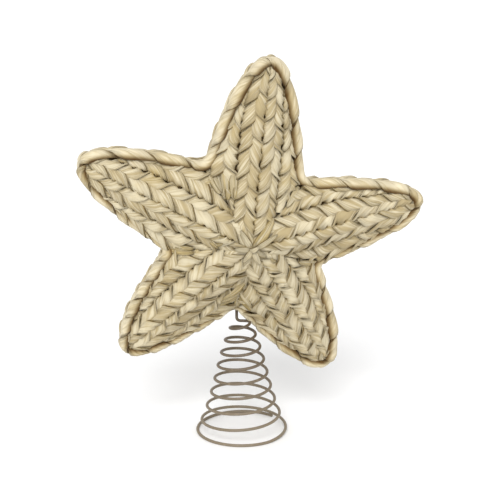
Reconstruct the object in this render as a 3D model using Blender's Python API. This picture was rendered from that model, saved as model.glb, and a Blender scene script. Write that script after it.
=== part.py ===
"""A braided straw star on a conical wire spring, made to stand on the tip of a tree.

Metres, +Z up, the face towards -Y. The origin is the middle of the whole object's footprint, on the
surface that the spring's closed base ring stands on.
"""
import math

import bmesh
import bpy
from mathutils import Matrix, Vector

# Driving dimensions of the star, measured on its own middle plane
ARM_NAMES = ("top", "right", "lower_right", "lower_left", "left")
STAR_RADIUS = 0.1312
ARM_SHARES = (1.0137, 0.9962, 0.9802, 0.9848, 1.0229)
ARM_BEARINGS = (-1.5, 72.6, 142.3, 217.0, 288.7)
VALLEY_RADIUS = 0.0605
VALLEY_SHARES = (0.9554, 0.9950, 0.9802, 1.0017, 1.0694)
VALLEY_BEARINGS = (36.5, 107.5, 179.9, 253.4, 322.9)
SIDE_BULGE = 0.0420
SIDE_TURN_DEG = -10.0
TIP_ROUNDING = 0.0170
VALLEY_ROUNDING = 0.0060
VALLEY_STEPS = 4
FACE_HEIGHT = 0.0330
EDGE_HEIGHT = 0.0052
RIDGE_SWELL = 1.15

# Driving dimensions of the braids
INNER_BRAID_WIDTH = 0.0147
OUTER_BRAID_WIDTH = 0.0200
STITCH_PITCH = 0.0170
STITCH_SLANT = 1.6
STITCH_RELIEF = 0.0016
SEAM_DEPTH = 0.0026
MIDDLE_DIP_SHARE = 0.5
ROWS_PAST_CENTRE = 2
BACK_PITCH = 0.0230
BACK_RELIEF = 0.0012
RIM_THICKNESS = 0.0050
RIM_DEPTH = 0.0128
RIM_PITCH = 0.0160
RIM_SLANT = 0.9
RIM_GROOVE = 0.0009
RIM_SIDES = 8
RIM_SHOULDER = 0.45
RIM_PATH_STEPS = 24
RIM_NORMAL_STEPS = 4
CLEARANCE = 0.0003

# How far along its pitch each braid starts, so that no two neighbours look alike
ARM_PHASE = 0.60
SIDE_PHASE = 0.37
LANE_PHASE = 0.72

# Driving dimensions of the spring
WIRE_DIAMETER = 0.0022
COIL_TOP_RADIUS = 0.0063
COIL_BASE_RADIUS = 0.0339
COIL_HEIGHT = 0.0848
COIL_TURNS = 8.15
CLOSED_TURN = 0.72
COIL_WAIST = 1.39
COIL_OPENING = 0.12
POINTS_PER_TURN = 14
LEG_X = -0.0035
LEG_Y = 0.0030
LEG_BEND = 0.0030
LEG_INSIDE = 0.0200
BEND_SHARE = 0.35
BEND_POINTS = 4

# The stretches that the one wire is parted into, and the turns, from the top, where each coil begins
STRETCHES = ("spring_leg", "spring_neck", "spring_middle", "spring_base")
COILS_BEGIN = (0.0, 3.6, 6.0)

# Where the star and the spring stand: the leg goes into the valley after the arm LEG_ARM
SPRING_X = -0.0087
SPRING_Y = 0.0022
LEG_ARM = 2
VALLEY_ABOVE_COIL = 0.0134
VALLEY_FROM_LEG = -0.0015
SOCKET_DROP = 0.0080
STAR_LEAN_DEG = 9.9
STAR_ROLL_DEG = 7.9
STAR_YAW_DEG = 7.7

# Each face of the star: its name, the way it looks, its stitch pitch and its relief
FACES = (("front", 1, STITCH_PITCH, STITCH_RELIEF), ("back", -1, BACK_PITCH, BACK_RELIEF))

STRAW = (0.62, 0.52, 0.34)
STRAW_SHADE = (0.55, 0.45, 0.28)
WIRE_PAINT = (0.30, 0.24, 0.19)


def clear_scene():
    for obj in list(bpy.data.objects):
        bpy.data.objects.remove(obj)


def make_collection(name, helper=False):
    collection = bpy.data.collections.new(name)
    collection.hide_render = helper
    bpy.context.scene.collection.children.link(collection)
    return collection


def make_material(name, colour, roughness):
    material = bpy.data.materials.new(name)
    material.use_nodes = True
    shader = material.node_tree.nodes["Principled BSDF"]
    shader.inputs["Base Color"].default_value = (*colour, 1.0)
    shader.inputs["Roughness"].default_value = roughness
    shader.inputs["Metallic"].default_value = 0.0
    return material


def add_mesh(name, bm, collection, parent=None):
    bmesh.ops.recalc_face_normals(bm, faces=bm.faces)
    mesh = bpy.data.meshes.new(name)
    bm.to_mesh(mesh)
    bm.free()
    obj = bpy.data.objects.new(name, mesh)
    obj.parent = parent
    collection.objects.link(obj)
    return obj


def make_cutter(name, bm, parent=None):
    cutter = add_mesh(name, bm, CUTTERS, parent)
    cutter.hide_render = True
    cutter.display_type = "WIRE"
    return cutter


def cut(obj, cutter, operation):
    modifier = obj.modifiers.new(cutter.name, "BOOLEAN")
    modifier.operation = operation
    modifier.solver = "EXACT"
    modifier.object = cutter


def prism(points, depth):
    """A closed prism on plan points, from -depth to depth through the star's middle plane."""
    bm = bmesh.new()
    face = bm.faces.new([bm.verts.new((x, -depth, z)) for x, z in points])
    moved = bmesh.ops.extrude_face_region(bm, geom=[face])
    verts = [v for v in moved["geom"] if isinstance(v, bmesh.types.BMVert)]
    bmesh.ops.translate(bm, vec=(0.0, 2 * depth, 0.0), verts=verts)
    return bm


def heading(bearing_deg):
    """The plan direction of a bearing, clockwise from straight up."""
    angle = math.radians(bearing_deg)
    return Vector((math.sin(angle), math.cos(angle)))


def bezier(controls, t):
    """A point on the Bezier curve through any number of controls."""
    points = controls
    for _ in controls[1:]:
        points = [a.lerp(b, t) for a, b in zip(points, points[1:])]
    return points[0]


def bend(controls, count):
    """Points at equal steps along a Bezier curve, its start left out and its end kept."""
    return [bezier(controls, (k + 1) / count) for k in range(count)]


class Arm:
    """One arm of the star: its axis, its two sides and the height of its faces."""

    def __init__(self, index):
        self.name = ARM_NAMES[index]
        self.length = STAR_RADIUS * ARM_SHARES[index]
        self.axis = heading(ARM_BEARINGS[index])
        self.across = Vector((self.axis.y, -self.axis.x))
        before = (index - 1) % len(ARM_NAMES)
        self.valleys = {
            -1: VALLEY_RADIUS * VALLEY_SHARES[before] * heading(VALLEY_BEARINGS[before]),
            1: VALLEY_RADIUS * VALLEY_SHARES[index] * heading(VALLEY_BEARINGS[index]),
        }

    def local(self, plan, side):
        """Distance along the arm and distance out to one side."""
        return plan.dot(self.axis), side * plan.dot(self.across)

    def plan(self, along, out, side):
        return along * self.axis + side * out * self.across

    def side_controls(self, side):
        along, out = self.local(self.valleys[side], side)
        turn = math.radians(SIDE_TURN_DEG)
        return [
            self.valleys[side],
            self.plan(along + SIDE_BULGE * math.cos(turn), out + SIDE_BULGE * math.sin(turn), side),
            self.plan(self.length, TIP_ROUNDING, side),
            self.plan(self.length, 0.0, side),
        ]

    def side_points(self, side, count):
        """The outline of one side, from the end of the valley's rounding to the tip."""
        controls = self.side_controls(side)
        start = VALLEY_ROUNDING / (3 * SIDE_BULGE)
        steps = [start + (1 - start) * k / (count - 1) for k in range(count)]
        return [bezier(controls, t) for t in steps]

    def half_width(self, along, side):
        """The arm's width to one side at a distance along it, running on towards the centre."""
        valley_along, valley_out = self.local(self.valleys[side], side)
        if along <= valley_along:
            return valley_out * (self.length - along) / (self.length - valley_along)
        low, high = 0.0, 1.0
        controls = self.side_controls(side)
        for _ in range(18):
            middle = (low + high) / 2
            if self.local(bezier(controls, middle), side)[0] < along:
                low = middle
            else:
                high = middle
        return max(self.local(bezier(controls, low), side)[1], TIP_ROUNDING / 4)

    def face_height(self, along, out, side):
        """The height of the face over the middle plane: a roof that falls from the ridge to the rim."""
        along = min(max(along, 0.0), self.length)
        ridge = (FACE_HEIGHT - EDGE_HEIGHT) * (1 - (along / self.length) ** RIDGE_SWELL)
        share = 1 - min(out / self.half_width(along, side), 1.0)
        return EDGE_HEIGHT + ridge * share


def outline(arms, count):
    """The star's closed outline, clockwise from the top arm's left valley."""
    points = []
    for index, arm in enumerate(arms):
        following = arms[(index + 1) % len(arms)]
        points += arm.side_points(-1, count)
        points += arm.side_points(1, count)[-2::-1]
        corner = [points[-1], arm.valleys[1], following.side_points(-1, count)[0]]
        points += bend(corner, VALLEY_STEPS)[:-1]
    return points


def inset(points, distance):
    """A closed loop moved inwards by a distance, along the normal at each point."""
    moved = []
    for index, point in enumerate(points):
        run = (points[(index + 1) % len(points)] - points[index - 1]).normalized()
        moved.append(point + distance * Vector((run.y, -run.x)))
    return moved


def evenly_spaced(points, count):
    """The same closed loop with points at equal steps, and the loop's length."""
    reach = [0.0]
    closed = points + points[:1]
    for a, b in zip(closed, closed[1:]):
        reach.append(reach[-1] + (b - a).length)
    spaced = []
    segment = 0
    for step in range(count):
        target = reach[-1] * step / count
        while reach[segment + 1] < target:
            segment += 1
        part = (target - reach[segment]) / (reach[segment + 1] - reach[segment])
        spaced.append(closed[segment].lerp(closed[segment + 1], part))
    return spaced, reach[-1]


def stitch_height(across, on_crest, relief):
    """The relief of a three-strand braid over its own middle height, from edge to edge."""
    if abs(across) == 1.0:
        return -SEAM_DEPTH
    if across == 0.0:
        return -MIDDLE_DIP_SHARE * relief
    return relief if on_crest else -relief


def braid_solid(arm, side, lane, phase, pitch, relief, facing):
    """A wedge from the middle plane up to a face of leaf-shaped stitches in two slanted columns."""
    columns = (-1.0, -0.5, 0.0, 0.5, 1.0)
    middle = (lane[0] + lane[1]) / 2
    half = (lane[1] - lane[0]) / 2
    rows = math.ceil((arm.length + half * STITCH_SLANT) / (pitch / 2)) + ROWS_PAST_CENTRE + 1
    bm = bmesh.new()
    top = []
    for row in range(rows):
        line = []
        for across in columns:
            out = middle + across * half
            along = (row - ROWS_PAST_CENTRE + phase) * pitch / 2 - abs(out - middle) * STITCH_SLANT
            crest = (row % 2 == 0) == (across > 0)
            height = arm.face_height(along, out, side) + stitch_height(across, crest, relief)
            place = arm.plan(along, out, side)
            line.append(bm.verts.new((place.x, -facing * height, place.y)))
        top.append(line)
    for low, high in zip(top, top[1:]):
        for k in range(len(columns) - 1):
            bm.faces.new((low[k], low[k + 1], high[k + 1], high[k]))
    moved = bmesh.ops.extrude_face_region(bm, geom=bm.faces[:])
    for vert in moved["geom"]:
        if isinstance(vert, bmesh.types.BMVert):
            vert.co.y = -facing * CLEARANCE / 2
    return bm


def wedge(arm, side):
    """The share of the star between an arm's ridge and one valley, in plan."""
    ridge = arm.axis
    valley = arm.valleys[side].normalized()
    middle = (ridge + valley).normalized()
    half_angle = ridge.angle(valley) / 2
    corner = middle * (CLEARANCE / 2) / math.sin(half_angle)
    far = 2 * STAR_RADIUS
    return [corner, corner + far * ridge, corner + far * valley]


def make_braids(arms, star, collection):
    inner_edge = inset(outline(arms, 6), RIM_THICKNESS + CLEARANCE)
    depth = 2 * FACE_HEIGHT
    within_rim = make_cutter("within_rim", prism(inner_edge, depth), star)
    socket = make_socket()
    seam = INNER_BRAID_WIDTH
    lanes = {
        "inner": (-CLEARANCE, seam - CLEARANCE / 2),
        "outer": (seam + CLEARANCE / 2, seam + OUTER_BRAID_WIDTH),
    }
    for index, arm in enumerate(arms):
        for side, side_name in ((-1, "left"), (1, "right")):
            share = make_cutter(f"share_{arm.name}_{side_name}", prism(wedge(arm, side), depth), star)
            takes_leg = arm.valleys[side] == arms[LEG_ARM].valleys[1]
            for lane, edges in lanes.items():
                for face, facing, pitch, relief in FACES:
                    name = f"{face}_{arm.name}_{lane}_{side_name}"
                    phase = ARM_PHASE * (index + 1) + SIDE_PHASE * side
                    phase = math.fmod(phase + (LANE_PHASE if lane == "outer" else 0.0), 1.0)
                    bm = braid_solid(arm, side, edges, phase, pitch, relief, facing)
                    braid = add_mesh(name, bm, collection, star)
                    cut(braid, share, "INTERSECT")
                    cut(braid, within_rim, "INTERSECT")
                    if lane == "outer" and takes_leg:
                        cut(braid, socket, "DIFFERENCE")
                    colour = STRAW if facing > 0 else STRAW_SHADE
                    braid.data.materials.append(make_material(name, colour, 0.75))


def rim_section(groove):
    """The band's section as (across the band, front to back) pairs, its flat sides set in by a groove."""
    section = []
    for k in range(RIM_SIDES):
        angle = math.tau * (k + 0.5) / RIM_SIDES
        thick = RIM_THICKNESS / 2
        depth = RIM_DEPTH / 2
        if abs(math.sin(angle)) > abs(math.cos(angle)):
            thick *= RIM_SHOULDER
            depth -= groove
        else:
            thick -= groove
            depth *= math.tan(math.pi / RIM_SIDES)
        section.append((math.copysign(thick, math.cos(angle)), math.copysign(depth, math.sin(angle))))
    return section


def make_rim(arms, star, collection):
    """The braid that stands on edge around the star, with strands that slant across it."""
    fine = inset(outline(arms, 40), RIM_THICKNESS / 2)
    _, length = evenly_spaced(fine, 2)
    stitches = round(length / RIM_PITCH)
    path, _ = evenly_spaced(fine, stitches * RIM_PATH_STEPS)
    bm = bmesh.new()
    rings = []
    for row in range(2 * stitches):
        groove = RIM_GROOVE if row % 2 else 0.0
        ring = []
        for thick, depth in rim_section(groove):
            slide = RIM_SLANT * depth * RIM_PATH_STEPS / RIM_PITCH
            where = round(row * RIM_PATH_STEPS / 2 + slide) % len(path)
            ahead = path[(where + RIM_NORMAL_STEPS) % len(path)] - path[where - RIM_NORMAL_STEPS]
            normal = Vector((-ahead.y, ahead.x)).normalized()
            place = path[where] + thick * normal
            ring.append(bm.verts.new((place.x, depth, place.y)))
        rings.append(ring)
    for ring, after in zip(rings, rings[1:] + rings[:1]):
        for k in range(RIM_SIDES):
            after_k = (k + 1) % RIM_SIDES
            bm.faces.new((ring[k], ring[after_k], after[after_k], after[k]))
    rim = add_mesh("rim_braid", bm, collection, star)
    cut(rim, make_socket(), "DIFFERENCE")
    rim.data.materials.append(make_material("rim_braid", STRAW, 0.75))


def coil_point(turns):
    """A point on the wire's centre line, counted in turns down from the top of the coil."""
    share = min(turns / COIL_TURNS, 1.0)
    growth = share**3 + COIL_WAIST * share * (1 - share)
    radius = COIL_TOP_RADIUS + (COIL_BASE_RADIUS - COIL_TOP_RADIUS) * growth
    height = COIL_HEIGHT * (1 - share) * (1 + COIL_OPENING * share)
    angle = -math.tau * turns
    return Vector((
        SPRING_X + radius * math.cos(angle),
        SPRING_Y + radius * math.sin(angle),
        wire_rest() + height,
    ))


def wire_rest():
    """The centre line's height where the eight-sided wire lies with a flat on the surface."""
    return WIRE_DIAMETER / 2 * math.cos(math.pi / 8)


def leg_place():
    """Where the straight leg of the wire stands, in plan: behind the axis, over the coil's back."""
    return SPRING_X + LEG_X, SPRING_Y + LEG_Y


def valley_height():
    return wire_rest() + COIL_HEIGHT + VALLEY_ABOVE_COIL


def wire_points():
    """The leg's top, its bend into the coil, the coil and its closed turn on the surface."""
    x, y = leg_place()
    start = coil_point(0.0)
    top = Vector((x, y, valley_height() + LEG_INSIDE))
    before_bend = Vector((x, y, start.z + LEG_BEND))
    corner = Vector((x, y, start.z))
    into_coil = Vector((SPRING_X + COIL_TOP_RADIUS, y, start.z))
    points = [top, before_bend]
    points += bend([before_bend, corner, corner.lerp(into_coil, BEND_SHARE)], BEND_POINTS)
    points += bend([points[-1], into_coil, start], BEND_POINTS)
    last = COIL_TURNS + CLOSED_TURN
    steps = math.ceil(last * POINTS_PER_TURN)
    points += [coil_point(last * (k + 1) / steps) for k in range(steps)]
    return points


def part_wire(points, after):
    """The wire's stretches, parted by a small gap in the middle of the segments after these points."""
    stretches = [[]]
    for k, point in enumerate(points):
        stretches[-1].append(point)
        if k in after:
            following = points[k + 1]
            half_gap = CLEARANCE / 2 / (following - point).length
            stretches[-1].append(point.lerp(following, 0.5 - half_gap))
            stretches.append([point.lerp(following, 0.5 + half_gap)])
    return stretches


def make_spring(collection):
    """One wire, parted into stretches so that the collision shapes leave the coil's inside open."""
    points = wire_points()
    coil_steps = math.ceil((COIL_TURNS + CLOSED_TURN) * POINTS_PER_TURN)
    coil_start = len(points) - 1 - coil_steps
    after = [coil_start + round(turns * POINTS_PER_TURN) for turns in COILS_BEGIN]
    for name, stretch in zip(STRETCHES, part_wire(points, after)):
        curve = bpy.data.curves.new(name, "CURVE")
        curve.dimensions = "3D"
        curve.twist_mode = "Z_UP"
        curve.bevel_depth = WIRE_DIAMETER / 2
        curve.bevel_resolution = 2
        curve.use_fill_caps = True
        spline = curve.splines.new("POLY")
        spline.points.add(len(stretch) - 1)
        for target, point in zip(spline.points, stretch):
            target.co = (*point, 1.0)
            target.tilt = math.pi / 8
        curve.materials.append(make_material(name, WIRE_PAINT, 0.45))
        collection.objects.link(bpy.data.objects.new(name, curve))


def make_socket():
    """The hole that the spring's leg fills, from below the valley to just past the leg's end."""
    x, y = leg_place()
    low = valley_height() - SOCKET_DROP
    high = valley_height() + LEG_INSIDE + CLEARANCE
    bm = bmesh.new()
    radius = WIRE_DIAMETER / 2 + CLEARANCE
    bmesh.ops.create_cone(
        bm, cap_ends=True, segments=8, radius1=radius, radius2=radius, depth=high - low,
        matrix=Matrix.Translation((x, y, (low + high) / 2)),
    )
    return make_cutter("leg_socket", bm)


def make_star_empty(arms):
    """The star's own frame, turned and set so that its bottom valley is over the spring's leg."""
    star = bpy.data.objects.new("star", None)
    lean = Matrix.Rotation(math.radians(STAR_LEAN_DEG), 3, "X")
    roll = Matrix.Rotation(math.radians(STAR_ROLL_DEG), 3, "Y")
    turn = Matrix.Rotation(math.radians(STAR_YAW_DEG), 3, "Z") @ lean @ roll
    star.rotation_euler = turn.to_euler()
    valley = arms[LEG_ARM].valleys[1]
    x, y = leg_place()
    star.location = Vector((x + VALLEY_FROM_LEG, y, valley_height())) - turn @ Vector((valley.x, 0.0, valley.y))
    return star


clear_scene()
PARTS = make_collection("star_tree_topper")
CUTTERS = make_collection("cutters", helper=True)
ARMS = [Arm(index) for index in range(len(ARM_NAMES))]
STAR = make_star_empty(ARMS)
PARTS.objects.link(STAR)
make_braids(ARMS, STAR, PARTS)
make_rim(ARMS, STAR, PARTS)
make_spring(PARTS)
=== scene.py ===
# %% [markdown]
# # A braided straw star on a wire spring
#
# This topper is plaited from dry husk straw: four flat three-strand braids lie side by side on each face of
# each arm, one more braid stands on edge around the outline, and a coiled wire holds the star on a treetop.
# The lesson dresses the fixed model with those braids, strand by strand. It starts by loading that model,
# because every size and place comes from it.

# %% Load the fixed model
import math

import bpy
import numpy as np
from mathutils import Matrix, Vector


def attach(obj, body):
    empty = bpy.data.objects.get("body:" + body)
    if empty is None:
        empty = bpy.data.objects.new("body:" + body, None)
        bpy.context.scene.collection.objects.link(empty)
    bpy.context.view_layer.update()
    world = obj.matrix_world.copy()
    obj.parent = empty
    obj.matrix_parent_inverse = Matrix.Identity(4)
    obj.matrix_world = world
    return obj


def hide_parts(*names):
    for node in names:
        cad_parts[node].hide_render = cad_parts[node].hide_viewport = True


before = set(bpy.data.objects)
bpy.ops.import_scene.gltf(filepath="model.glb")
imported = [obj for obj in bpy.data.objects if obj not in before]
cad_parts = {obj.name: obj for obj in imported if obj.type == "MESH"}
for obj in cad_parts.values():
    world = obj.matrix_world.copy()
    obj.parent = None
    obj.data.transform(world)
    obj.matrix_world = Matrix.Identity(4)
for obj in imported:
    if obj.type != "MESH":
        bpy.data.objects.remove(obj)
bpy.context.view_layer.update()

# %% [markdown]
# ## The star's own plan
#
# A star could be modelled where it stands, but it leans, rolls and turns a little on its spring, and every
# sum would carry those three angles. So it is worked out on its own middle plane, x to the right, z up and
# the face towards -y, and one matrix puts the finished meshes in place. Sizes are in metres and bearings in
# degrees, clockwise from straight up. Lists of five follow the order of the arms.

# %% The star's sizes
ARM_NAMES = ("top", "right", "lower_right", "lower_left", "left")
STAR_RADIUS = 0.1312
ARM_SHARES = (1.0137, 0.9962, 0.9802, 0.9848, 1.0229)
ARM_BEARINGS = (-1.5, 72.6, 142.3, 217.0, 288.7)
VALLEY_RADIUS = 0.0605
VALLEY_SHARES = (0.9554, 0.9950, 0.9802, 1.0017, 1.0694)
VALLEY_BEARINGS = (36.5, 107.5, 179.9, 253.4, 322.9)
SIDE_BULGE = 0.0420
SIDE_TURN_DEG = -10.0
TIP_ROUNDING = 0.0170
NARROWEST = TIP_ROUNDING / 4
VALLEY_ROUNDING = 0.0060
FACE_HEIGHT = 0.0330
EDGE_HEIGHT = 0.0052
RIDGE_SWELL = 1.15
HALVINGS = 18


def heading(bearing_deg):
    """The plan direction of a bearing."""
    angle = math.radians(bearing_deg)
    return Vector((math.sin(angle), math.cos(angle)))


def bezier(controls, t):
    """A point on the Bezier curve through any number of controls."""
    points = controls
    for _ in controls[1:]:
        points = [a.lerp(b, t) for a, b in zip(points, points[1:])]
    return points[0]


print(f"{len(ARM_NAMES)} arms of about {STAR_RADIUS * 1000:.0f} mm")


# %% One arm
class Arm:
    """One arm: its axis, the curves of its two sides and the height of its roof-shaped faces."""

    def __init__(self, index):
        self.index = index
        self.name = ARM_NAMES[index]
        self.length = STAR_RADIUS * ARM_SHARES[index]
        self.axis = heading(ARM_BEARINGS[index])
        self.across = Vector((self.axis.y, -self.axis.x))
        self.valleys = {
            side: VALLEY_RADIUS * VALLEY_SHARES[valley] * heading(VALLEY_BEARINGS[valley])
            for side, valley in ((-1, (index - 1) % len(ARM_NAMES)), (1, index))
        }

    def local(self, plan, side):
        """A place in the plan as lengths along the arm and out from its axis on one side."""
        return plan.dot(self.axis), side * plan.dot(self.across)

    def plan(self, along, out, side):
        return along * self.axis + side * out * self.across

    def side_controls(self, side):
        along, out = self.local(self.valleys[side], side)
        turn = math.radians(SIDE_TURN_DEG)
        return [
            self.valleys[side],
            self.plan(along + SIDE_BULGE * math.cos(turn), out + SIDE_BULGE * math.sin(turn), side),
            self.plan(self.length, TIP_ROUNDING, side),
            self.plan(self.length, 0.0, side),
        ]

    def facing_down(self, side):
        """How far one side of the arm looks down, from 0 to 1."""
        return max(-side * self.across.y, 0.0)

    def half_width(self, along, side):
        """The distance from the axis to the outline, found by halving the side curve repeatedly."""
        valley_along, valley_out = self.local(self.valleys[side], side)
        if along <= valley_along:
            return valley_out * (self.length - along) / (self.length - valley_along)
        low, high = 0.0, 1.0
        controls = self.side_controls(side)
        for _ in range(HALVINGS):
            middle = (low + high) / 2
            if self.local(bezier(controls, middle), side)[0] < along:
                low = middle
            else:
                high = middle
        return max(self.local(bezier(controls, low), side)[1], NARROWEST)

    def place(self, along, out, side, facing, sink=0.0):
        """A point of a face, or below it, in the star's own frame."""
        reach = min(max(along, 0.0), self.length)
        ridge = (FACE_HEIGHT - EDGE_HEIGHT) * (1 - (reach / self.length) ** RIDGE_SWELL)
        height = EDGE_HEIGHT + ridge * (1 - min(out / self.half_width(reach, side), 1.0)) - sink
        plan = self.plan(along, out, side)
        return Vector((plan.x, -facing * height, plan.y))


ARMS = [Arm(index) for index in range(len(ARM_NAMES))]
print("arm lengths in mm:", [round(arm.length * 1000) for arm in ARMS])

# %% [markdown]
# ## Where the star stands
#
# The star could be placed by its middle, but the wire's leg runs up into the valley between the two lower
# arms, so that valley is the point that fixes it: it sits a little above the top of the coil, over the leg.

# %% The spring's sizes and the star's place
WIRE_RADIUS = 0.0011
FIXED_WIRE_SIDES = 8
COIL_TOP_RADIUS = 0.0063
COIL_BASE_RADIUS = 0.0339
COIL_HEIGHT = 0.0848
COIL_TURNS = 8.15
CLOSED_TURN = 0.72
COIL_WAIST = 1.39
COIL_OPENING = 0.12
SPRING_AXIS = Vector((-0.0087, 0.0022))
LEG = SPRING_AXIS + Vector((-0.0035, 0.0030))
LEG_BEND = 0.0030
LEG_INSIDE = 0.0200
STAR_LIFT = 0.0134
LEG_OFFSET = 0.0015
WIRE_REST = WIRE_RADIUS * math.cos(math.pi / FIXED_WIRE_SIDES)
VALLEY_HEIGHT = WIRE_REST + COIL_HEIGHT + STAR_LIFT
VALLEY_PLACE = Vector((LEG.x - LEG_OFFSET, LEG.y, VALLEY_HEIGHT))

yaw = Matrix.Rotation(math.radians(7.7), 4, "Z")
lean = Matrix.Rotation(math.radians(9.9), 4, "X")
roll = Matrix.Rotation(math.radians(7.9), 4, "Y")
turned = yaw @ lean @ roll
bottom_valley = ARMS[ARM_NAMES.index("lower_right")].valleys[1]
STAR = Matrix.Translation(VALLEY_PLACE - turned @ Vector((bottom_valley.x, 0.0, bottom_valley.y))) @ turned
print("middle of the star:", [round(v, 4) for v in STAR.translation])

# %% [markdown]
# ## Sums that build nodes
#
# Both the shapes and the finishes below are node trees. Wired by hand, one line of arithmetic is five nodes,
# so a small class wraps an output socket and turns Python's operators into Math nodes, or into Vector Math
# nodes where a vector takes part.


# %% A value that can be summed
class Value:
    """The output of a node, ready for Python's arithmetic."""

    def __init__(self, graph, socket):
        self.graph = graph
        self.socket = socket

    def part(self, axis):
        """The X, Y or Z of a vector."""
        return self.graph.add("ShaderNodeSeparateXYZ", {"Vector": self}, axis)

    def is_vector(self):
        return self.socket.type == "VECTOR"

    def math(self, operation, *others):
        return self.graph.add("ShaderNodeMath", dict(enumerate((self, *others))), operation=operation)

    def vector(self, operation, *others, out="Vector"):
        inputs = dict(enumerate((self, *others)))
        return self.graph.add("ShaderNodeVectorMath", inputs, out, operation=operation)

    def scale(self, factor):
        return self.graph.add("ShaderNodeVectorMath", {"Vector": self, "Scale": factor}, operation="SCALE")

    def combine(self, operation, other, swapped=False):
        kind = "ShaderNodeVectorMath" if self.is_vector() else "ShaderNodeMath"
        pair = (other, self) if swapped else (self, other)
        return self.graph.add(kind, dict(enumerate(pair)), operation=operation)

    def __add__(self, other):
        return self.combine("ADD", other)

    def __sub__(self, other):
        return self.combine("SUBTRACT", other)

    def __rsub__(self, other):
        return self.combine("SUBTRACT", other, swapped=True)

    def __mul__(self, other):
        if self.is_vector():
            return self.scale(other)
        if isinstance(other, Value) and other.is_vector():
            return other.scale(self)
        return self.combine("MULTIPLY", other)

    def __truediv__(self, other):
        return self.combine("DIVIDE", other)

    def __rtruediv__(self, other):
        return self.combine("DIVIDE", other, swapped=True)

    __radd__ = __add__
    __rmul__ = __mul__

    def sine(self):
        return self.math("SINE")

    def cosine(self):
        return self.math("COSINE")

    def size(self):
        return self.math("ABSOLUTE")

    def clamp(self):
        return self.math("MAXIMUM", 0.0).math("MINIMUM", 1.0)

    def ramp(self, low, high):
        """A smooth rise from 0 at low to 1 at high."""
        inputs = {"Value": self, "From Min": low, "From Max": high}
        return self.graph.add("ShaderNodeMapRange", inputs, interpolation_type="SMOOTHSTEP")

    def dot(self, other):
        return self.vector("DOT_PRODUCT", other, out="Value")

    def stretched(self, around, along):
        """A fibre vector with one scale around the strand and another along it."""
        return self.vector("MULTIPLY", (around, around, along))


# %% The graph that adds nodes
class Graph:
    """A node tree under construction."""

    def __init__(self, tree):
        self.tree = tree

    def add(self, kind, inputs=None, out=None, **settings):
        """Adds a node, sets it up, feeds its sockets and gives back one of its outputs."""
        node = self.tree.nodes.new(kind)
        for name, setting in settings.items():
            setattr(node, name, setting)
        for key, value in (inputs or {}).items():
            self.feed(node, key, value)
        if out is not None:
            return Value(self, node.outputs[out])
        shown = [socket for socket in node.outputs if socket.enabled]
        return Value(self, shown[0]) if shown else node

    def feed(self, node, key, value):
        if isinstance(key, int):
            socket = node.inputs[key]
        else:
            socket = next(s for s in node.inputs if s.enabled and key in (s.name, s.identifier))
        if isinstance(value, Value):
            self.tree.links.new(value.socket, socket)
        else:
            socket.default_value = value

    def xyz(self, x, y, z):
        return self.add("ShaderNodeCombineXYZ", {"X": x, "Y": y, "Z": z})

    def noise(self, vector, detail=2.0, roughness=0.5, scale=1.0):
        inputs = {"Vector": vector, "Scale": scale, "Detail": detail, "Roughness": roughness}
        return self.add("ShaderNodeTexNoise", inputs)

    def mix(self, first, second, share):
        """A share of the second colour over the first."""
        under, over = (c if isinstance(c, Value) else (*c, 1.0) for c in (first, second))
        inputs = {"Factor_Float": share, "A_Color": under, "B_Color": over}
        return self.add("ShaderNodeMix", inputs, data_type="RGBA")


print("classes for values and trees")

# %% [markdown]
# ## The braid
#
# Three flat straw strands take turns. Each runs slanting across the braid on top, folds over at its edge,
# comes back underneath and rises again past the middle line. Laid out flat, the three strands would be three
# straight parallel bands, so the tree sweeps three bands along the guide and then folds them. The fold is a
# triangle wave with rounded corners, taken at each point's own place across the band, so that a band folds
# along the straight edge of the braid, as real husk does. The height is a sine of twice the band's phase:
# over its neighbour on the way out, under it on the way back. Leaf shapes copied in a row would be simpler,
# but then nothing goes over and under.

# %% Inputs of the braid's tree
BRAID_INPUTS = {
    "Strands": 3,
    "Spread": 0.96,
    "Band Width": 0.79,
    "Band Thickness": 0.17,
    "Leaf": 0.36,
    "Lift": 0.20,
    "Fullness": 1.50,
    "Overlap Slope": 0.22,
    "Fold Sharpness": 0.93,
    "Unevenness": 0.72,
    "Pleat Depth": 0.00035,
    "Crease Depth": 0.0003,
    "Step": 0.0011,
    "Sides": 32,
    "Tuck Length": 0.0060,
    "Tuck Depth": 0.0015,
    "Bed Reach": 1.10,
    "Bed Depth": 0.50,
    "Seam Normal": (0.0, 0.0, 1.0),
    "Seam Offset": 1.0,
    "Seam Roll": 0.0020,
    "Front": (0.0, -1.0, 0.0),
    "Seed": 0,
    "Material": None,
}
SOCKETS = {int: "Int", float: "Float", tuple: "Vector", type(None): "Material"}


def new_tree(name, inputs):
    """An empty Geometry Nodes tree with named inputs, and the values of those inputs."""
    tree = bpy.data.node_groups.new(name, "GeometryNodeTree")
    for end in ("INPUT", "OUTPUT"):
        tree.interface.new_socket("Geometry", in_out=end, socket_type="NodeSocketGeometry")
    for label, default in inputs.items():
        kind = "NodeSocket" + SOCKETS[type(default)]
        socket = tree.interface.new_socket(label, in_out="INPUT", socket_type=kind)
        if default is not None:
            socket.default_value = default
    graph = Graph(tree)
    entry = graph.add("NodeGroupInput").socket.node
    return graph, {socket.name: Value(graph, socket) for socket in entry.outputs if socket.name}


def close_tree(graph, geometry, material):
    """The last steps of every tree: smooth faces, real geometry and a material."""
    smooth = graph.add("GeometryNodeSetShadeSmooth", {"Geometry": geometry})
    real = graph.add("GeometryNodeRealizeInstances", {"Geometry": smooth})
    painted = graph.add("GeometryNodeSetMaterial", {"Geometry": real, "Material": material})
    graph.add("NodeGroupOutput", {"Geometry": painted})
    return graph.tree


print(f"{len(BRAID_INPUTS)} inputs for a braid")

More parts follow.
